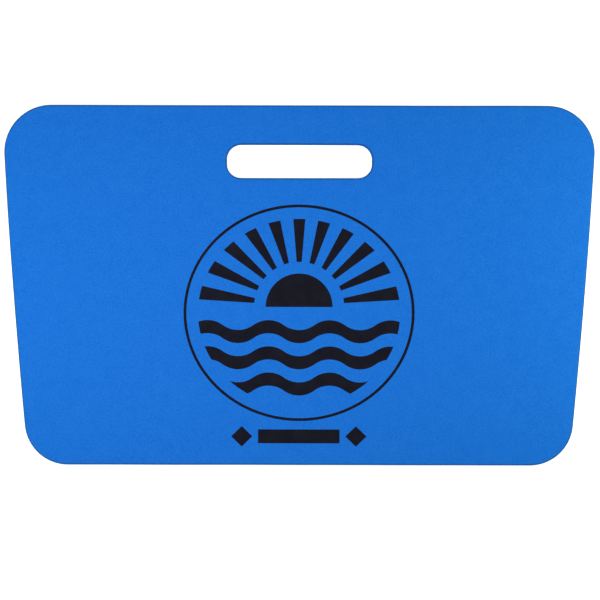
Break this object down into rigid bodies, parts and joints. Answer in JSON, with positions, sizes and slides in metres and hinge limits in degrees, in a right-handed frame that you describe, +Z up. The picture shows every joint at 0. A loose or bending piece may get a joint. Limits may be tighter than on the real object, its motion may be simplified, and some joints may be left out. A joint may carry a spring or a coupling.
{
  "type": "foam kneeling pad",
  "caption": "Flat tapered pad of closed-cell foam with rounded corners, a hand slot along its longer edge and a plain dark print, to kneel or sit on.",
  "frame": {"origin": "middle of the face that rests on the ground, under the centre of the board's box", "axes": "+Z up out of the printed face, +Y towards the edge beside the hand slot, +X along that edge, to the right when the print is read"},
  "size_m": [0.4066, 0.2476, 0.0191],
  "materials": {
    "foam": "matte",
    "bond_film": "matte",
    "ink": "matte"
  },
  "bodies": {
    "root": {"lower_foam_ply": "foam", "upper_foam_ply": "foam", "bond_film": "bond_film", "print_ring": "ink", "print_sun": "ink", "print_sun_rays": "ink", "print_upper_wave": "ink", "print_middle_wave": "ink", "print_lower_wave": "ink", "print_bar": "ink", "print_diamonds": "ink"}
  },
  "joints": []
}
